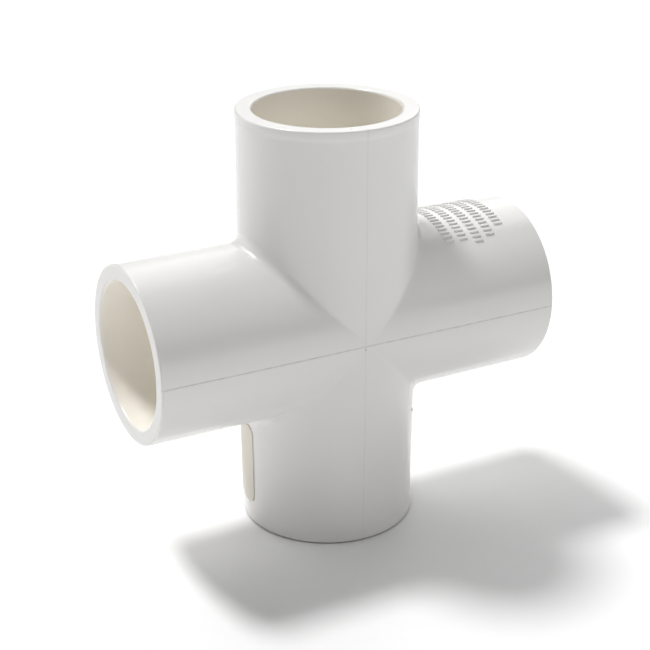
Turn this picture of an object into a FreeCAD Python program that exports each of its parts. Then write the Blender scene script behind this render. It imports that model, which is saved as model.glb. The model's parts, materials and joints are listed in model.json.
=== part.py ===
"""Four-way slip cross for 3/4 inch pressure pipe, with its stuck-on blank label.

Millimetres.  The origin is the point where the two runs cross.  +Z is up the vertical run,
+X is along the horizontal run and -Y is the front face of the cross.  The part is one
moulding: the centre body and the four sockets are regions of it that meet face to face on
planes square to each arm, exactly at the pipe stops.
"""
import FreeCAD, Part
import math
import os

from FreeCAD import Placement, Rotation, Vector

os.makedirs("parts", exist_ok=True)

# Arms
OUTER_R = 16.5             # outside of every arm where it leaves the centre body
CENTRE_TO_END = 40.0       # cross centre to each rim, the same on all four arms
OUTER_DRAFT = 0.12         # how much slimmer an arm is near its rim
RIM_OUTER_ROUND = 0.35     # rounding of a rim's outer edge
RIM_INNER_ROUND = 0.5      # rounding of a rim's inner edge
LIP_WIDTH = 0.9            # faint lip at the rims of the vertical run
LIP_RAMP = 1.2             # gentle slope that leads up to the lip

# Sockets, to the solvent-weld sizes for a 26.67 mm pipe
SOCKET_DEPTH = 20.5        # rim to pipe stop
SOCKET_BORE_R = 13.36      # straight bore that holds the pipe
MOUTH_BORE_R = 13.435      # bore at the rim, where the lead-in starts
LEAD_IN = 3.0              # length of the taper from the rim to the straight bore

# Centre body
WATERWAY_R = 12.0          # crossing bores between the pipe stops
CROTCH_ROUND = 2.0         # fillet in the corners between the arms
WATERWAY_ROUND = 0.6       # rounding where the two waterways meet

# Block of plain raised bars on top of the right socket
BARS_IN_ROWS = (20, 20, 21, 20, 18)
BAR_ROW_FIRST_X = 21.0     # middle of the row next to the centre body
BAR_ROW_PITCH = 2.95
BAR_LENGTH = 1.9           # along the arm
BAR_WIDTH = 0.5            # round the arm
BAR_HEIGHT = 0.3
BAR_BACK_ANGLE = -34.0     # degrees from the top of the arm to a row's first bar, behind
BAR_STEP = 3.5             # degrees from one bar to the next, towards the front

# Adhesive label on the lower socket
LABEL_THICKNESS = 0.2
LABEL_TOP_Z = -19.6
LABEL_BOTTOM_Z = -35.9
LABEL_START_ANGLE = 184.7  # degrees from +X by way of +Y, where -X is 180
LABEL_WIDTH = 24.0         # round the arm, from the start angle towards the back
LABEL_CORNER_R = 1.8

ORIGIN = Vector(0, 0, 0)
AXIS_X = Vector(1, 0, 0)
AXIS_Y = Vector(0, 1, 0)
AXIS_Z = Vector(0, 0, 1)
STOP_FROM_CENTRE = CENTRE_TO_END - SOCKET_DEPTH


def turned(shape, axis, degrees):
    """A copy of a shape, turned about an axis through the origin."""
    copy = shape.copy()
    copy.Placement = Placement(ORIGIN, Rotation(axis, degrees)).multiply(copy.Placement)
    return copy


def crossed_cylinders(radius, half_length, corner_round):
    """Two equal cylinders crossing at the origin, with their four creases filleted."""
    seam_turn = 45         # keeps the cylinders' seam lines off the creases' end points
    runs = []
    for axis in (AXIS_Z, AXIS_X):
        run = Part.makeCylinder(radius, 2 * half_length, axis * -half_length, axis)
        runs.append(turned(run, axis, seam_turn))
    cross = runs[0].fuse(runs[1]).removeSplitter()
    creases = []
    for edge in cross.Edges:
        middle = edge.valueAt((edge.FirstParameter + edge.LastParameter) / 2)
        if abs(abs(middle.x) - abs(middle.z)) < 1e-3 and abs(middle.x) > 1:
            creases.append(edge)
    return cross.makeFillet(corner_round, creases)


def corner_arc(start, corner, end):
    """The quarter-round edge that replaces a square corner between two points."""
    centre = start + end - corner
    middle = centre + (corner - centre) / math.sqrt(2)
    return Part.Arc(start, middle, end).toShape()


def outer_line(with_lip):
    """Points up the outside of an arm, as radius along X and distance out along Z."""
    slim_r = OUTER_R - OUTER_DRAFT
    points = [Vector(OUTER_R, 0, STOP_FROM_CENTRE)]
    if with_lip:
        lip_start = CENTRE_TO_END - LIP_WIDTH
        points.append(Vector(slim_r, 0, lip_start - LIP_RAMP))
        points.append(Vector(OUTER_R, 0, lip_start))
        points.append(Vector(OUTER_R, 0, CENTRE_TO_END - RIM_OUTER_ROUND))
    else:
        points.append(Vector(slim_r, 0, CENTRE_TO_END - RIM_OUTER_ROUND))
    return points


def socket(with_lip):
    """One socket pointing up +Z: a turned ring with a lead-in, a straight bore and a rounded rim."""
    outside = outer_line(with_lip)
    rim_r = outside[-1].x
    rim_outer = Vector(rim_r - RIM_OUTER_ROUND, 0, CENTRE_TO_END)
    rim_inner = Vector(MOUTH_BORE_R + RIM_INNER_ROUND, 0, CENTRE_TO_END)
    bore_top = Vector(MOUTH_BORE_R, 0, CENTRE_TO_END - RIM_INNER_ROUND)
    bore_start = Vector(SOCKET_BORE_R, 0, CENTRE_TO_END - LEAD_IN)
    bore_stop = Vector(SOCKET_BORE_R, 0, STOP_FROM_CENTRE)
    edges = [Part.makeLine(a, b) for a, b in zip(outside, outside[1:])]
    edges.append(corner_arc(outside[-1], Vector(rim_r, 0, CENTRE_TO_END), rim_outer))
    edges.append(Part.makeLine(rim_outer, rim_inner))
    edges.append(corner_arc(rim_inner, Vector(MOUTH_BORE_R, 0, CENTRE_TO_END), bore_top))
    edges.append(Part.makeLine(bore_top, bore_start))
    edges.append(Part.makeLine(bore_start, bore_stop))
    edges.append(Part.makeLine(bore_stop, outside[0]))
    return Part.Face(Part.Wire(edges)).revolve(ORIGIN, AXIS_Z, 360)


def centre_body():
    """The hub out to the pipe stops, with its two crossing waterways."""
    outside = crossed_cylinders(OUTER_R, STOP_FROM_CENTRE, CROTCH_ROUND)
    overrun = 5.0          # the waterways are cut past the ends
    return outside.cut(crossed_cylinders(WATERWAY_R, STOP_FROM_CENTRE + overrun, WATERWAY_ROUND))


def skin(thickness, low, high, with_lip, degrees=360):
    """A shell that lies on the drafted outside of an arm, between two distances out."""
    start, end = outer_line(with_lip)[:2]

    def on_arm(out, proud):
        share = (out - start.z) / (end.z - start.z)
        return Vector(start.x + share * (end.x - start.x) + proud, 0, out)

    corners = [on_arm(low, 0), on_arm(high, 0), on_arm(high, thickness), on_arm(low, thickness)]
    face = Part.Face(Part.makePolygon(corners + corners[:1]))
    return face.revolve(ORIGIN, AXIS_Z, degrees)


def bar_prism():
    """A bar with round ends, standing along +Z through the top of an arm that runs along X."""
    half_width = BAR_WIDTH / 2
    half_straight = BAR_LENGTH / 2 - half_width
    height = OUTER_R + 2 * BAR_HEIGHT
    prism = Part.makeBox(2 * half_straight, BAR_WIDTH, height, Vector(-half_straight, -half_width, 0))
    for end in (-half_straight, half_straight):
        prism = prism.fuse(Part.makeCylinder(half_width, height, Vector(end, 0, 0)))
    return prism.removeSplitter()


def raised_bars():
    """Rows of equal plain bars, proud of the right socket's upper side."""
    first = BAR_ROW_FIRST_X - BAR_LENGTH
    last = BAR_ROW_FIRST_X + (len(BARS_IN_ROWS) - 1) * BAR_ROW_PITCH + BAR_LENGTH
    shell = turned(skin(BAR_HEIGHT, max(first, STOP_FROM_CENTRE), last, False), AXIS_Y, 90)
    prism = bar_prism()
    bars = []
    for row, bars_in_row in enumerate(BARS_IN_ROWS):
        placed = prism.copy()
        placed.translate(Vector(BAR_ROW_FIRST_X + row * BAR_ROW_PITCH, 0, 0))
        for place in range(bars_in_row):
            angle = BAR_BACK_ANGLE + place * BAR_STEP
            bars.append(turned(placed, AXIS_X, angle).common(shell).Solids[0])
    return Part.makeCompound(bars)


def blank_label():
    """A thin label with rounded corners, wrapped round the back left of the lower socket."""
    degrees = math.degrees(LABEL_WIDTH / OUTER_R)
    sheet = skin(LABEL_THICKNESS, -LABEL_TOP_Z, -LABEL_BOTTOM_Z, True, degrees)
    corners = [edge for edge in sheet.Edges if edge.Length < 2 * LABEL_THICKNESS]
    label = turned(sheet.makeFillet(LABEL_CORNER_R, corners), AXIS_X, 180)
    return turned(label, AXIS_Z, LABEL_START_ANGLE)


def export(node, shape):
    """Writes one node and prints what it is made of."""
    shape.exportStep("parts/" + node + ".step")
    box = shape.BoundBox
    print(f"{node}: {len(shape.Solids)} solids, valid {shape.isValid()}, {shape.Volume:.1f} mm3,",
          f"x {box.XMin:.2f}..{box.XMax:.2f} y {box.YMin:.2f}..{box.YMax:.2f}",
          f"z {box.ZMin:.2f}..{box.ZMax:.2f}")


vertical_socket = socket(with_lip=True)
horizontal_socket = socket(with_lip=False)

export("centre_body", centre_body())
export("socket_up", vertical_socket)
export("socket_down", turned(vertical_socket, AXIS_Y, 180))
export("socket_right", turned(horizontal_socket, AXIS_Y, 90))
export("socket_left", turned(horizontal_socket, AXIS_Y, -90))
export("raised_bars", raised_bars())
export("blank_label", blank_label())
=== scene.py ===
"""Looks of a white four-way slip cross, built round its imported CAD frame.

Metres.  The origin is the point where the two runs cross, +Z is up the vertical run, +X is
along the horizontal run and -Y is the front face.
"""

import json
import math

import bpy
from mathutils import Matrix, Vector


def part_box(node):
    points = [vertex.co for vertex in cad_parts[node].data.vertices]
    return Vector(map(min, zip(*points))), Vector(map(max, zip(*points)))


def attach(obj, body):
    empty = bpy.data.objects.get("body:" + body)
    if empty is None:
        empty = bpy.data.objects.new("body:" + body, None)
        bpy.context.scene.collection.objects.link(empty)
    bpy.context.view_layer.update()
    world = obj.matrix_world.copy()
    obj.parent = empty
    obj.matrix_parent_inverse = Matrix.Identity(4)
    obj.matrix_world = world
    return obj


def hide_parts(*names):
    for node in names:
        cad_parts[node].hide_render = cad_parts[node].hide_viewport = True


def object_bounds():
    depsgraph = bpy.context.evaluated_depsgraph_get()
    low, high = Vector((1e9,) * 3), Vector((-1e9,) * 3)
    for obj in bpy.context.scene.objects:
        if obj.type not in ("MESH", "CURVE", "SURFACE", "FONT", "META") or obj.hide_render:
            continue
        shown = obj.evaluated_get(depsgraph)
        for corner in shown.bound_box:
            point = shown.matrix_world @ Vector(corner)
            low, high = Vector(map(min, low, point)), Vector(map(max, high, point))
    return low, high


MM = 0.001

# Moulding, where the frame doesn't give the size
WATERWAY_R = 12.0 * MM         # crossing bores between the pipe stops
CROTCH_ROUND = 2.0 * MM        # fillet in the corners between the arms
WATERWAY_ROUND = 0.6 * MM      # rounding where the two waterways meet
OUTER_DRAFT = 0.12 * MM        # how much slimmer an arm is near its rim
DRAFT_BLEND = 4.0 * MM         # stretch over which the draft starts
RIM_OUTER_ROUND = 0.35 * MM
RIM_INNER_ROUND = 0.5 * MM
LIP_WIDTH = 0.9 * MM           # faint lip at the rims of the vertical run
LIP_RAMP = 1.2 * MM
MOUTH_BORE_R = 13.435 * MM     # socket bore at the rim, where the lead-in starts
LEAD_IN = 3.0 * MM

# Witness lines along the middle of the front and the back
WITNESS_HALF_WIDTH = 0.14 * MM
WITNESS_UP_X = -0.9 * MM           # the upright line is a little to the left of the middle
WITNESS_DEPTH_ALONG = 0.05 * MM    # on the horizontal run
WITNESS_DEPTH_UP = 0.02 * MM       # on the vertical run

# Small dark marks: the gate mark below the crossing lines, painted shade of a small pit, and a speck
# on the top rim
GATE_MARK_Z = -0.6 * MM
GATE_MARK_R = 0.28 * MM
SPECK_X = -3.2 * MM
SPECK_Y = -14.6 * MM
SPECK_R = 0.3 * MM

# Tiny moulding nub on the right of the lower tube
NUB_X = 13.0 * MM
NUB_HEIGHT_Z = -18.6 * MM
NUB_R = 0.4 * MM
NUB_PROUD = 0.2 * MM
NUB_LIFTS = (-30, 0, 20, 40, 60, 80, 90)     # degrees up its dome, from inside the wall

# Raised bars on top of the right socket
BARS_IN_ROWS = (20, 20, 21, 20, 18)
BAR_ROW_FIRST_X = 21.0 * MM
BAR_ROW_PITCH = 2.95 * MM
BAR_LENGTH = 1.9 * MM
BAR_WIDTH = 0.5 * MM
BAR_HEIGHT = 0.3 * MM
BAR_BACK_ANGLE = -34.0         # degrees from the arm's top to a row's first bar, behind
BAR_STEP = 3.5                 # degrees from one bar to the next, towards the front

# Label on the lower socket
LABEL_START_ANGLE = 184.7      # degrees from +X by way of +Y
LABEL_WIDTH = 24.0 * MM
LABEL_CORNER_R = 1.8 * MM
LABEL_THICKNESS = 0.2 * MM

# Camera and light
CAMERA_AZIMUTH = 27.91         # degrees from the front towards -X
CAMERA_ELEVATION = 23.47
CAMERA_DISTANCE = 283.1 * MM
CAMERA_LENS = 83.24            # millimetres
CAMERA_SENSOR = 36.0           # millimetres wide
AIM_SIDEWAYS = -0.364 * MM
AIM_HEIGHT = -2.23 * MM
STAGE_R = 4.0                  # metres
SWEEP_R = 0.28                 # metres, how the floor curves up at its edge
WORLD_STRENGTH = 0.02
DIFFUSE_BOUNCES = 8
LIGHTS = (                     # name, azimuth from +X towards +Y, elevation, spread, irradiance
    ("key", 118, 63, 11, 2.05),
    ("back_box", 100, 45, 25, 0.45),
    ("right_fill", 45, 40, 50, 0.9),
    ("front_left_fill", 225, 40, 50, 0.17),
    ("front_right_fill", 315, 40, 50, 0.45),
    ("left_kicker", 135, 12, 50, 0.45),
    ("back_card", 55, 14, 35, 0.2),
    ("top_fill", 0, 90, 50, 0.3),
)

# Colours, linear
PVC_OUTSIDE = (0.80, 0.793, 0.776)
# the inside colour is lighter and warmer than the outside: a painted glow for light through the
# translucent walls
PVC_INSIDE_PAINTED_GLOW = (0.955, 0.925, 0.862)
# dark tone for painted shade in the witness grooves and the gate mark's pit, and for dust and the rim
# speck
SHADE_AND_DUST_TONE = (0.36, 0.34, 0.31)
# near-black tone of the painted contact shadow where the standing edge meets the floor
CONTACT_SHADE_TONE = (0.09, 0.08, 0.07)
PAPER_PALE = (0.77, 0.73, 0.65)
PAPER_DEEP = (0.745, 0.705, 0.62)
PAPER_FIBRE = (0.70, 0.66, 0.57)
FLOOR_WHITE = (0.96, 0.96, 0.96)

# Surfaces
PVC_MOTTLE = 0.01              # how far its colour strays to either side
PVC_ROUGHNESS = (0.20, 0.27)
PVC_IOR = 1.53
PAPER_ROUGHNESS = (0.42, 0.55)
PAPER_IOR = 1.45
FLOOR_ROUGHNESS = 0.9
MARK_STRENGTH = 0.6
LINE_SHADE_AND_DUST_ALONG = 0.45              # painted groove shade and dust in the witness line of the horizontal run
LINE_SHADE_AND_DUST_UP = 0.12                 # painted groove shade and dust in the witness line of the vertical run
CONTACT_SHADE_FULL = 0.08 * MM         # painted contact shadow is full on the standing edge up to here, above the floor
CONTACT_SHADE_END = 0.4 * MM           # and gone from here

# Mesh fineness
QUARTER_STEPS = 48             # columns in a quarter turn
GROOVE_STEPS = 4               # columns in half a witness line
FILLET_STEPS = 10
ROUND_STEPS = 5
LIP_STEPS = 6
NUB_COLUMNS = 16
BAR_END_STEPS = 8
LABEL_COLUMNS = 36
LABEL_ROWS = 12
LABEL_CORNER_STEPS = 6
SWEEP_STEPS = 12
WELD = 1e-7                    # metres; points in the same cell of this size are one vertex

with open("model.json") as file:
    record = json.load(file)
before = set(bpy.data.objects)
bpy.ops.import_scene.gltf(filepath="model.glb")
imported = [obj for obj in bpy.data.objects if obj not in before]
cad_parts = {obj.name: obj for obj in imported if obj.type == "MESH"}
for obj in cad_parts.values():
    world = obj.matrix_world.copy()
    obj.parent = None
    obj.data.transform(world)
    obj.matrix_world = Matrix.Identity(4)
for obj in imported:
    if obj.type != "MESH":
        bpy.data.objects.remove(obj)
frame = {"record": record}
cad_low, cad_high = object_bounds()
END = cad_high.z                                   # cross centre to each rim
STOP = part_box("centre_body")[1].x                  # cross centre to each pipe stop
OUTER_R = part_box("centre_body")[1].y
MOUNTS = {mount["name"]: mount for mount in frame["record"]["mounts"]}
SOCKET_BORE_R = MOUNTS["socket_up_bore"]["dims"]["r_mm"] * MM
LABEL_BOTTOM, LABEL_TOP = (corner.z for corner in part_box("blank_label"))
MARKS = (((WITNESS_UP_X, -OUTER_R, GATE_MARK_Z), GATE_MARK_R),
         ((SPECK_X, SPECK_Y, END), SPECK_R))


# ---------------------------------------------------------------- mesh building

class Skin:
    """Patches of points with their surface normals, gathered into one mesh."""

    def __init__(self):
        self.points = []
        self.places = {}
        self.faces = []
        self.normals = []

    def vertex(self, point):
        key = tuple(round(c / WELD) for c in point)
        if key not in self.places:
            self.places[key] = len(self.points)
            self.points.append(point)
        return self.places[key]

    def face(self, corners):
        """Adds a face from (point, normal) corners, wound to agree with the normals."""
        kept = []
        for point, normal in corners:
            index = self.vertex(point)
            if index not in [k[0] for k in kept]:
                kept.append((index, normal))
        if len(kept) < 3:
            return
        ring = [self.points[index] for index, _ in kept]
        across = sum(((a - ring[0]).cross(b - ring[0]) for a, b in zip(ring[1:], ring[2:])), Vector())
        outward = sum((normal for _, normal in kept), Vector())
        if across.dot(outward) < 0:
            kept.reverse()
        self.faces.append([index for index, _ in kept])
        self.normals.extend(normal for _, normal in kept)

    def patch(self, rows, closed=False):
        """Adds a grid of (point, normal) rows; a closed one joins its last column to its first."""
        for low, high in zip(rows, rows[1:]):
            columns = len(low) if closed else len(low) - 1
            for i in range(columns):
                j = (i + 1) % len(low)
                self.face([low[i], low[j], high[j], high[i]])

    def build(self, name):
        mesh = bpy.data.meshes.new(name)
        mesh.from_pydata(self.points, [], self.faces)
        mesh.update()
        mesh.polygons.foreach_set("use_smooth", [True] * len(mesh.polygons))
        mesh.normals_split_custom_set([n.normalized() for n in self.normals])
        piece = bpy.data.objects.new(name, mesh)
        bpy.context.scene.collection.objects.link(piece)
        return piece


def quarter_angles():
    """Columns of a quarter turn, in radians, closer together beside the witness lines."""
    full = math.pi / 2
    half = WITNESS_HALF_WIDTH / OUTER_R
    upright = math.acos(abs(WITNESS_UP_X) / OUTER_R)
    near = [i / GROOVE_STEPS for i in range(-GROOVE_STEPS, GROOVE_STEPS + 1)]
    at_upright = [upright + half * share for share in near]
    at_front = [full + half * share for share in near if share <= 0]
    even = [full * i / QUARTER_STEPS for i in range(QUARTER_STEPS)]
    return sorted(at_upright + [a for a in at_front + even if abs(a - upright) > half])


def ring_angles():
    """Columns of a full turn, made of four mirrored quarters."""
    quarter = quarter_angles()
    half = quarter + [math.pi - a for a in reversed(quarter[:-1])]
    return half + [a + math.pi for a in half[1:-1]]


def scored(point, normal):
    """A point of the outer wall and its normal, sunk where a witness line crosses it."""
    depth, slope, across = 0.0, 0.0, Vector((1, 0, 0))
    lines = ((point.x - WITNESS_UP_X, WITNESS_DEPTH_UP, Vector((1, 0, 0))),
             (point.z, WITNESS_DEPTH_ALONG, Vector((0, 0, 1))))
    for offset, full_depth, side in lines:
        if abs(offset) >= WITNESS_HALF_WIDTH:
            continue
        phase = math.pi * offset / WITNESS_HALF_WIDTH
        here = full_depth * (1 + math.cos(phase)) / 2
        if here > depth:
            depth = here
            slope = -full_depth * math.pi / (2 * WITNESS_HALF_WIDTH) * math.sin(phase)
            across = side
    return point - normal * depth, (normal + across * slope).normalized()


def arc_profile(centre, radius, start, end, steps):
    """Profile points on a rounded corner, as (radius, height, normal radius, normal height)."""
    points = []
    for i in range(steps + 1):
        angle = math.radians(start + (end - start) * i / steps)
        nr, nh = math.cos(angle), math.sin(angle)
        points.append((centre[0] + radius * nr, centre[1] + radius * nh, nr, nh))
    return points


def revolved(profile, arm, witness=False):
    """Grid rows of a profile turned about an arm's axis."""
    rows = []
    for radius, height, nr, nh in profile:
        row = []
        for angle in ring_angles():
            c, s = math.cos(angle), math.sin(angle)
            point = arm @ Vector((radius * c, radius * s, height))
            normal = (arm @ Vector((nr * c, nr * s, nh))).normalized()
            row.append(scored(point, normal) if witness else (point, normal))
        rows.append(row)
    return rows


def scored_row(row, arm):
    """A row on an outer edge of an arm, sunk where the witness lines run into it."""
    outward = [arm @ Vector((math.cos(a), math.sin(a), 0)) for a in ring_angles()]
    return [(scored(point, out)[0], normal) for (point, normal), out in zip(row, outward)]


# ---------------------------------------------------------------- hub

def slerp(a, b, share):
    """A direction part of the way round from a to b."""
    turn = math.acos(max(-1.0, min(1.0, a.dot(b))))
    if turn < 1e-6:
        return a.copy()
    return (a * math.sin((1 - share) * turn) + b * math.sin(share * turn)) / math.sin(turn)


def crossing_strip(t, radius, rounding):
    """A line on an eighth of two crossing tubes: down the first, round the corner, out the second.

    t is the angle round both tubes from the side where they meet to their shared front."""
    c, s = math.cos(t), math.sin(t)
    corner = (radius + rounding) * c
    centre = Vector((corner, (radius + rounding) * s, corner))
    towards_up = Vector((-c, -s, 0))
    towards_side = Vector((0, -s, -c))
    beside = corner + 2 * WITNESS_HALF_WIDTH       # keeps a witness line's groove narrow
    reaches = (STOP, (STOP + corner) / 2, beside)
    strip = [(Vector((radius * c, radius * s, reach)), -towards_up) for reach in reaches]
    for i in range(FILLET_STEPS + 1):
        away = slerp(towards_up, towards_side, i / FILLET_STEPS)
        strip.append((centre + away * rounding, -away))
    strip += [(Vector((reach, radius * s, radius * c)), -towards_side) for reach in reversed(reaches)]
    return strip


def crossing(skin, radius, rounding, outside):
    """All eight mirrored eighths of two crossing tubes, seen from outside or from inside."""
    rows = [crossing_strip(t, radius, rounding) for t in quarter_angles()]
    mirrors = [Matrix.Diagonal((sx, sy, sz)) for sx in (1, -1) for sy in (1, -1) for sz in (1, -1)]
    for mirror in mirrors:
        eighth = []
        for row in rows:
            line = [(mirror @ point, mirror @ normal) for point, normal in row]
            if outside:
                line = [scored(point, normal) for point, normal in line]
            else:
                line = [(point, -normal) for point, normal in line]
            eighth.append(line)
        skin.patch(eighth)


ARMS = {
    "up": Matrix.Identity(3),
    "down": Matrix.Rotation(math.pi, 3, "Y"),
    "right": Matrix.Rotation(math.pi / 2, 3, "Y"),
    "left": Matrix.Rotation(-math.pi / 2, 3, "Y"),
}


def stop_face(skin, arm):
    """The flat end of the hub, which is the pipe stop inside and meets the socket outside."""
    flat = [(WATERWAY_R, STOP, 0, 1), (SOCKET_BORE_R, STOP, 0, 1), (OUTER_R, STOP, 0, 1)]
    rows = revolved(flat, arm)
    rows[-1] = scored_row(rows[-1], arm)
    skin.patch(rows, closed=True)


def add_nub(skin):
    """A tiny dome left by the mould on the right of the lower tube."""
    turn = -math.acos(NUB_X / OUTER_R)
    out = Vector((math.cos(turn), math.sin(turn), 0))
    side = Vector((-out.y, out.x, 0))
    centre = out * OUTER_R + Vector((0, 0, NUB_HEIGHT_Z))
    rows = []
    for lift in NUB_LIFTS:
        spread, rise = math.cos(math.radians(lift)), math.sin(math.radians(lift))
        row = []
        for i in range(NUB_COLUMNS):
            turn = math.tau * i / NUB_COLUMNS
            away = side * math.cos(turn) + Vector((0, 0, math.sin(turn)))
            point = centre + away * NUB_R * spread + out * NUB_PROUD * rise
            row.append((point, (away * spread * NUB_PROUD + out * rise * NUB_R).normalized()))
        rows.append(row)
    skin.patch(rows, closed=True)
    skin.face([(point, -out) for point, _ in rows[0]])


def make_hub():
    skin = Skin()
    crossing(skin, OUTER_R, CROTCH_ROUND, True)
    crossing(skin, WATERWAY_R, WATERWAY_ROUND, False)
    add_nub(skin)
    for arm in ARMS.values():
        stop_face(skin, arm)
    return skin.build("centre_body_skin")


# ---------------------------------------------------------------- sockets

def outer_wall(with_lip):
    """Outside of a socket from the hub to the rim's rounding."""
    slim = OUTER_R - OUTER_DRAFT
    top = END - RIM_OUTER_ROUND
    lip_start = END - LIP_WIDTH
    draft_end = lip_start - LIP_RAMP if with_lip else top
    tilt = OUTER_DRAFT / (draft_end - STOP)
    wall = [(OUTER_R, STOP, 1, 0),
            (OUTER_R - DRAFT_BLEND * tilt, STOP + DRAFT_BLEND, 1, tilt)]
    if not with_lip:
        return wall + [(slim, top, 1, tilt / 2)]
    for i in range(LIP_STEPS + 1):
        share = i / LIP_STEPS
        ease = share * share * (3 - 2 * share)
        steep = 6 * share * (1 - share) * OUTER_DRAFT / LIP_RAMP
        wall.append((slim + OUTER_DRAFT * ease, draft_end + LIP_RAMP * share, 1, -steep))
    return wall + [(OUTER_R, top, 1, 0)]


def rim_profile(rim_r):
    """Round the rim, from its outer edge by way of the flat to its inner edge."""
    outer_centre = (rim_r - RIM_OUTER_ROUND, END - RIM_OUTER_ROUND)
    inner_centre = (MOUTH_BORE_R + RIM_INNER_ROUND, END - RIM_INNER_ROUND)
    rim = arc_profile(outer_centre, RIM_OUTER_ROUND, 0, 90, ROUND_STEPS)
    return rim + arc_profile(inner_centre, RIM_INNER_ROUND, 90, 180, ROUND_STEPS)


def bore_profile():
    """Down the bore, from the rim by way of the lead-in to the pipe stop."""
    lead = (MOUTH_BORE_R - SOCKET_BORE_R) / LEAD_IN
    return [(MOUTH_BORE_R, END - RIM_INNER_ROUND, -1, lead / 2),
            (SOCKET_BORE_R, END - LEAD_IN, -1, lead / 2),
            (SOCKET_BORE_R, END - 2 * LEAD_IN, -1, 0),
            (SOCKET_BORE_R, STOP, -1, 0)]


def make_socket(name, with_lip):
    arm = ARMS[name]
    wall = outer_wall(with_lip)
    skin = Skin()
    skin.patch(revolved(wall, arm, witness=True), closed=True)
    rim = revolved(rim_profile(wall[-1][0]), arm)
    rim[0] = scored_row(rim[0], arm)
    skin.patch(rim, closed=True)
    skin.patch(revolved(bore_profile(), arm), closed=True)
    seat = revolved([(SOCKET_BORE_R, STOP, 0, -1), (OUTER_R, STOP, 0, -1)], arm)
    seat[-1] = scored_row(seat[-1], arm)
    skin.patch(seat, closed=True)
    return skin.build(f"socket_{name}_skin")


# ---------------------------------------------------------------- raised bars

def wall_radius(out, with_lip):
    """Outside radius of a drafted arm at a distance out from the centre."""
    end = END - LIP_WIDTH - LIP_RAMP if with_lip else END - RIM_OUTER_ROUND
    return OUTER_R - OUTER_DRAFT * (out - STOP) / (end - STOP)


# Section of a bar's edge: how far in, as a share of its width, and how high, as a share of its height
BAR_SECTION = ((0.0, -0.2), (0.0, 0.2), (0.03, 0.52), (0.08, 0.79), (0.16, 0.94), (0.25, 1.0))


def bar_outline(inset):
    """Round-ended outline of a bar, as (along, across, normal along, normal across)."""
    half_width = BAR_WIDTH / 2
    half_straight = BAR_LENGTH / 2 - half_width
    reach = half_width - inset
    outline = []
    for side, turn in ((1, 0), (-1, math.pi)):
        for i in range(BAR_END_STEPS + 1):
            angle = math.radians(-90 + 180 * i / BAR_END_STEPS) + turn
            na, nc = math.cos(angle), math.sin(angle)
            outline.append((side * half_straight + reach * na, reach * nc, na, nc))
    return outline


def close_ring(skin, ring):
    """Fills a bar's ring with strips that run from one round end to the other."""
    for i in range(len(ring) // 2 - 1):
        skin.face([ring[i], ring[i + 1], ring[-2 - i], ring[-1 - i]])


def add_bar(skin, middle_x, angle):
    """One softly rounded bar, standing on the top of the right socket."""
    rows = []
    for i, (share_in, share_up) in enumerate(BAR_SECTION):
        low = BAR_SECTION[max(i - 1, 0)]
        high = BAR_SECTION[min(i + 1, len(BAR_SECTION) - 1)]
        run = (high[0] - low[0]) * BAR_WIDTH
        rise = (high[1] - low[1]) * BAR_HEIGHT
        flare, lift = (rise, run) if i < len(BAR_SECTION) - 1 else (0, 1)
        row = []
        for along, across, na, nc in bar_outline(share_in * BAR_WIDTH):
            x = middle_x + along
            radius = wall_radius(x, False) + share_up * BAR_HEIGHT
            turn = angle + across / OUTER_R
            up = Vector((0, -math.sin(turn), math.cos(turn)))
            side = Vector((0, -math.cos(turn), -math.sin(turn)))
            normal = (Vector((1, 0, 0)) * na + side * nc) * flare + up * lift
            row.append((up * radius + Vector((x, 0, 0)), normal.normalized()))
        rows.append(row)
    skin.patch(rows, closed=True)
    close_ring(skin, rows[-1])
    close_ring(skin, [(point, -Vector((0, point.y, point.z)).normalized()) for point, _ in rows[0]])


def make_bars():
    skin = Skin()
    for row, bars_in_row in enumerate(BARS_IN_ROWS):
        for place in range(bars_in_row):
            angle = math.radians(BAR_BACK_ANGLE + place * BAR_STEP)
            add_bar(skin, BAR_ROW_FIRST_X + row * BAR_ROW_PITCH, angle)
    return skin.build("moulded_bars")


# ---------------------------------------------------------------- label

# Section of the label's cut edge: how far in from its outline, and how high, in metres
LABEL_SECTION = ((0.0, -0.02 * MM), (0.0, 0.12 * MM), (0.02 * MM, 0.17 * MM),
                 (0.06 * MM, 0.195 * MM), (0.12 * MM, LABEL_THICKNESS))


def label_row_levels(inset):
    """Rows of the label from bottom to top, as (height, how far its ends are drawn in)."""
    corner = LABEL_CORNER_R - inset
    low, high = LABEL_BOTTOM + inset + corner, LABEL_TOP - inset - corner
    turns = [math.pi / 2 * i / LABEL_CORNER_STEPS for i in range(LABEL_CORNER_STEPS + 1)]
    levels = [(low - corner * math.cos(a), corner * (1 - math.sin(a))) for a in turns]
    levels += [(low + (high - low) * i / LABEL_ROWS, 0.0) for i in range(1, LABEL_ROWS)]
    levels += [(high + corner * math.sin(a), corner * (1 - math.cos(a))) for a in turns]
    return levels


def on_label(across, height, proud):
    """A point on the label; across is measured from its start edge round towards the back."""
    angle = math.radians(LABEL_START_ANGLE) - across / OUTER_R
    radius = wall_radius(-height, True) + proud
    out = Vector((math.cos(angle), math.sin(angle), 0))
    return out * radius + Vector((0, 0, height)), out


def label_grid(inset, proud):
    """Points over the whole label, drawn in from its outline and raised off the wall."""
    rows = []
    for height, drawn_in in label_row_levels(inset):
        low, high = inset + drawn_in, LABEL_WIDTH - inset - drawn_in
        rows.append([on_label(low + (high - low) * i / LABEL_COLUMNS, height, proud)
                     for i in range(LABEL_COLUMNS + 1)])
    return rows


def border(grid):
    """The outline of a grid, once round."""
    right = [row[-1] for row in grid[1:-1]]
    left = [row[0] for row in reversed(grid[1:-1])]
    return grid[0] + right + grid[-1][::-1] + left


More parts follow.
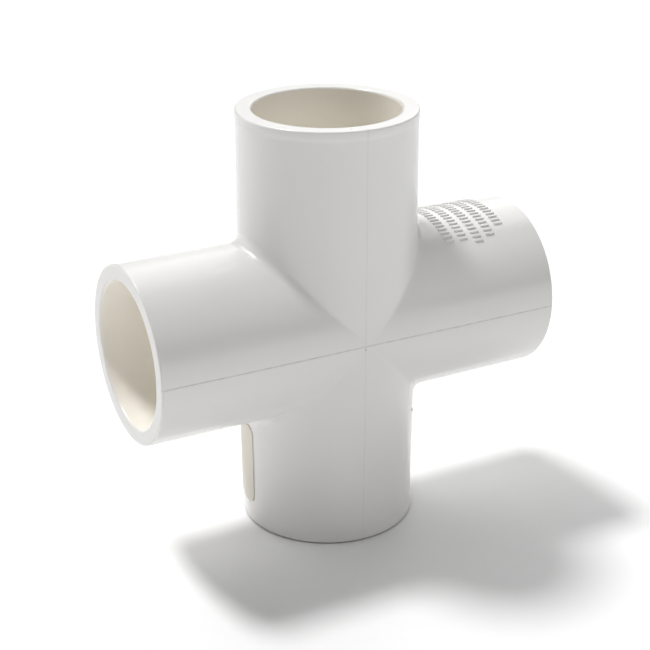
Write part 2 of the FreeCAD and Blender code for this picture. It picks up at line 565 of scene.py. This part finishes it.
def make_label():
    skin = Skin()
    skin.patch(label_grid(*LABEL_SECTION[-1]))
    base = label_grid(*LABEL_SECTION[0])
    skin.patch([[(point, -out) for point, out in row] for row in base])
    rings = [border(label_grid(*section)) for section in LABEL_SECTION]
    rows = []
    for i, ring in enumerate(rings):
        lean = i / (len(rings) - 1) * math.pi / 2
        row = []
        for (point, out), (outer, _), (inner, _) in zip(ring, rings[0], rings[-1]):
            side = outer - inner
            side = (side - out * side.dot(out)).normalized()
            row.append((point, (side * math.cos(lean) + out * math.sin(lean)).normalized()))
        rows.append(row)
    skin.patch(rows, closed=True)
    return skin.build("label_sheet")


# ---------------------------------------------------------------- materials

class Look:
    """A new material, with short calls for the nodes that it is made of.  Scales are per metre."""

    def __init__(self, name):
        self.material = bpy.data.materials.new(name)
        self.material.use_nodes = True
        self.nodes = self.material.node_tree.nodes
        self.shader = self.nodes["Principled BSDF"]
        self.place = self.nodes.new("ShaderNodeTexCoord").outputs["Object"]

    def link(self, source, target):
        self.material.node_tree.links.new(source, target)

    def noise(self, coordinates, scale, detail, roughness):
        node = self.nodes.new("ShaderNodeTexNoise")
        node.inputs["Scale"].default_value = scale
        node.inputs["Detail"].default_value = detail
        node.inputs["Roughness"].default_value = roughness
        self.link(coordinates, node.inputs["Vector"])
        return node.outputs["Fac"]

    def remap(self, value, low, high, to_low, to_high, smooth=False):
        """A value's range from low to high, brought to another range and held at both ends."""
        node = self.nodes.new("ShaderNodeMapRange")
        node.interpolation_type = "SMOOTHSTEP" if smooth else "LINEAR"
        sockets = ("From Min", "From Max", "To Min", "To Max")
        for socket, number in zip(sockets, (low, high, to_low, to_high)):
            node.inputs[socket].default_value = number
        self.link(value, node.inputs["Value"])
        return node.outputs["Result"]

    def clouds(self, scale, to_low=0.0, to_high=1.0, roughness=0.5):
        """Soft patches that wander between two values."""
        return self.remap(self.noise(self.place, scale, 3.0, roughness), 0.3, 0.7, to_low, to_high)

    def maths(self, operation, a, b=None):
        node = self.nodes.new("ShaderNodeMath")
        node.operation = operation
        for socket, value in zip(node.inputs, (a, b)):
            if isinstance(value, (int, float)):
                socket.default_value = value
            elif value is not None:
                self.link(value, socket)
        return node.outputs["Value"]

    def mix(self, share, a, b):
        """Colour a where the share is 0, and colour b where it is 1."""
        node = self.nodes.new("ShaderNodeMix")
        node.data_type = "RGBA"
        self.link(share, node.inputs["Factor"])
        for socket, colour in (("A", a), ("B", b)):
            target = [s for s in node.inputs if s.name == socket and s.type == "RGBA"][0]
            if isinstance(colour, tuple):
                target.default_value = colour + (1,)
            else:
                self.link(colour, target)
        return [s for s in node.outputs if s.type == "RGBA"][0]

    def bump(self, height, strength, distance, after=None):
        node = self.nodes.new("ShaderNodeBump")
        node.inputs["Strength"].default_value = strength
        node.inputs["Distance"].default_value = distance
        self.link(height, node.inputs["Height"])
        if after is not None:
            self.link(after, node.inputs["Normal"])
        return node.outputs["Normal"]


def shade(colour, factor):
    """A colour times a factor."""
    return tuple(c * factor for c in colour)


def line_shade_and_dust(look, across, half_width, amount):
    """Faint uneven darkening along a witness line: painted shade of its groove, with dust."""
    near = look.remap(look.maths("ABSOLUTE", across), half_width * 0.4, half_width, 1.0, 0.0, True)
    uneven = look.remap(look.noise(look.place, 420.0, 3.0, 0.7), 0.35, 0.7, 0.35, 1.0, True)
    return look.maths("MULTIPLY", look.maths("MULTIPLY", near, uneven), amount)


def spot(look, centre, radius):
    """1 within a small round mark on the surface, fading to 0 at its edge."""
    gap = look.nodes.new("ShaderNodeVectorMath")
    gap.operation = "DISTANCE"
    look.link(look.place, gap.inputs[0])
    gap.inputs[1].default_value = centre
    return look.remap(gap.outputs["Value"], radius * 0.5, radius, 1.0, 0.0, True)


def bore_glow_mask(look, x, y, z):
    """1 inside the bores and waterways, where the painted glow goes, 0 on the rims and outside."""
    xx, yy, zz = [look.maths("MULTIPLY", axis, axis) for axis in (x, y, z)]
    from_upright_axis = look.maths("SQRT", look.maths("ADD", xx, yy))
    from_level_axis = look.maths("SQRT", look.maths("ADD", yy, zz))
    nearest = look.maths("MINIMUM", from_upright_axis, from_level_axis)
    edge = MOUTH_BORE_R + RIM_INNER_ROUND / 2
    return look.remap(nearest, MOUTH_BORE_R - 0.02 * MM, edge, 1.0, 0.0, True)


def witness_shade_and_dust(look, x, y, z):
    """Painted groove shade and dust in both witness lines, on the front and the back of the outside.
    """
    along = line_shade_and_dust(look, z, WITNESS_HALF_WIDTH * 1.1, LINE_SHADE_AND_DUST_ALONG)
    from_upright_line = look.maths("SUBTRACT", x, WITNESS_UP_X)
    up = line_shade_and_dust(look, from_upright_line, WITNESS_HALF_WIDTH * 1.5, LINE_SHADE_AND_DUST_UP)
    outside = look.remap(look.maths("ABSOLUTE", y), OUTER_R * 0.95, OUTER_R * 0.97, 0.0, 1.0)
    return look.maths("MULTIPLY", look.maths("MAXIMUM", along, up), outside)


def white_pvc():
    """Glossy warm-white PVC, faintly wavy, with painted shade and dust in its lines, a painted glow
    inside its bores and a painted contact shadow on its standing edge.
    """
    look = Look("white_pvc")
    axes = look.nodes.new("ShaderNodeSeparateXYZ")
    look.link(look.place, axes.inputs["Vector"])
    x, y, z = axes.outputs
    mottle = look.clouds(60.0)
    outer, inner = [look.mix(mottle, shade(tone, 1 + PVC_MOTTLE), shade(tone, 1 - PVC_MOTTLE))
                    for tone in (PVC_OUTSIDE, PVC_INSIDE_PAINTED_GLOW)]
    # inside the bores the lighter, warmer copy is a painted glow, not a different plastic
    colour = look.mix(bore_glow_mask(look, x, y, z), outer, inner)
    shade_and_dust = witness_shade_and_dust(look, x, y, z)
    # the gate mark is painted pit shade; the rim speck is dirt
    for centre, radius in MARKS:
        mark = look.maths("MULTIPLY", spot(look, centre, radius), MARK_STRENGTH)
        shade_and_dust = look.maths("MAXIMUM", shade_and_dust, mark)
    # mixes in the painted shade of the grooves and the gate pit, with the dust and the speck
    colour = look.mix(shade_and_dust, colour, SHADE_AND_DUST_TONE)
    # painted contact shadow: the bottom of the standing edge darkened almost to black, where it meets
    # the floor
    painted_contact_shade = look.remap(z, cad_low.z + CONTACT_SHADE_FULL, cad_low.z + CONTACT_SHADE_END, 1.0, 0.0, True)
    look.link(look.mix(painted_contact_shade, colour, CONTACT_SHADE_TONE), look.shader.inputs["Base Color"])
    look.link(look.clouds(140.0, *PVC_ROUGHNESS, roughness=0.6), look.shader.inputs["Roughness"])
    look.shader.inputs["IOR"].default_value = PVC_IOR
    waves = look.bump(look.noise(look.place, 110.0, 1.0, 0.4), 0.25, 0.05 * MM)
    grain = look.bump(look.noise(look.place, 1800.0, 2.0, 0.5), 0.06, 0.01 * MM, waves)
    look.link(grain, look.shader.inputs["Normal"])
    return look.material


def label_paper():
    """Cream coated paper: satin and slightly cloudy, with fine fibres."""
    look = Look("label_paper")
    colour = look.mix(look.clouds(90.0), PAPER_PALE, PAPER_DEEP)
    stretch = look.nodes.new("ShaderNodeMapping")
    stretch.inputs["Scale"].default_value = (1.0, 1.0, 4.0)
    look.link(look.place, stretch.inputs["Vector"])
    fibres = look.noise(stretch.outputs["Vector"], 2200.0, 3.0, 0.6)
    tint = look.remap(fibres, 0.4, 0.7, 0.0, 0.25)
    look.link(look.mix(tint, colour, PAPER_FIBRE), look.shader.inputs["Base Color"])
    look.link(look.remap(fibres, 0.3, 0.7, *PAPER_ROUGHNESS), look.shader.inputs["Roughness"])
    look.shader.inputs["IOR"].default_value = PAPER_IOR
    look.link(look.bump(fibres, 0.25, 0.01 * MM), look.shader.inputs["Normal"])
    return look.material


def floor_paper():
    """Matt white studio paper."""
    look = Look("floor_paper")
    colour = look.mix(look.clouds(300.0), FLOOR_WHITE, shade(FLOOR_WHITE, 0.99))
    look.link(colour, look.shader.inputs["Base Color"])
    look.shader.inputs["Roughness"].default_value = FLOOR_ROUGHNESS
    look.shader.inputs["Specular IOR Level"].default_value = 0.0
    return look.material


# ---------------------------------------------------------------- stage

def make_floor(material):
    """A flat round floor that sweeps up into a low wall all round."""
    skin = Skin()
    sweep = arc_profile((STAGE_R - SWEEP_R, cad_low.z + SWEEP_R), SWEEP_R, -90, 0, SWEEP_STEPS)
    rows = revolved([(radius, height, -nr, -nh) for radius, height, nr, nh in sweep], ARMS["up"])
    skin.patch(rows, closed=True)
    skin.face([(point, Vector((0, 0, 1))) for point, _ in rows[0]])
    floor = skin.build("studio_floor")
    floor.data.materials.append(material)


def direction(azimuth, elevation):
    """Unit vector at an angle from +X towards +Y, and above the floor, in degrees."""
    a, e = math.radians(azimuth), math.radians(elevation)
    return Vector((math.cos(a) * math.cos(e), math.sin(a) * math.cos(e), math.sin(e)))


def make_camera():
    data = bpy.data.cameras.new("camera")
    data.lens = CAMERA_LENS
    data.sensor_width = CAMERA_SENSOR
    data.clip_start = 10 * MM
    data.clip_end = 5 * STAGE_R
    camera = bpy.data.objects.new("camera", data)
    bpy.context.scene.collection.objects.link(camera)
    to_camera = direction(-90 - CAMERA_AZIMUTH, CAMERA_ELEVATION)
    right = Vector((0, 0, 1)).cross(to_camera).normalized()
    aim = right * AIM_SIDEWAYS + Vector((0, 0, AIM_HEIGHT))
    camera.location = aim + to_camera * CAMERA_DISTANCE
    camera.rotation_euler = to_camera.to_track_quat("Z", "Y").to_euler()
    bpy.context.scene.camera = camera


def make_lights():
    for name, azimuth, elevation, spread, irradiance in LIGHTS:
        data = bpy.data.lights.new(name, "SUN")
        data.energy = irradiance
        data.angle = math.radians(spread)
        light = bpy.data.objects.new(name, data)
        light.rotation_euler = direction(azimuth, elevation).to_track_quat("Z", "Y").to_euler()
        bpy.context.scene.collection.objects.link(light)


def make_world():
    world = bpy.data.worlds.new("studio")
    world.use_nodes = True
    background = world.node_tree.nodes["Background"]
    background.inputs["Color"].default_value = (1, 1, 1, 1)
    background.inputs["Strength"].default_value = WORLD_STRENGTH
    scene = bpy.context.scene
    scene.world = world
    scene.view_settings.view_transform = "Standard"
    scene.cycles.diffuse_bounces = DIFFUSE_BOUNCES


def finish_piece(piece, material, node):
    """Gives a piece its material, and puts it in the place of its CAD node."""
    piece.data.materials.append(material)
    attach(piece, "root")
    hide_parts(node)


make_camera()
make_lights()
make_world()
make_floor(floor_paper())
pvc = white_pvc()
finish_piece(make_hub(), pvc, "centre_body")
for arm_name in ARMS:
    socket_piece = make_socket(arm_name, arm_name in ("up", "down"))
    finish_piece(socket_piece, pvc, f"socket_{arm_name}")
finish_piece(make_bars(), pvc, "raised_bars")
finish_piece(make_label(), label_paper(), "blank_label")
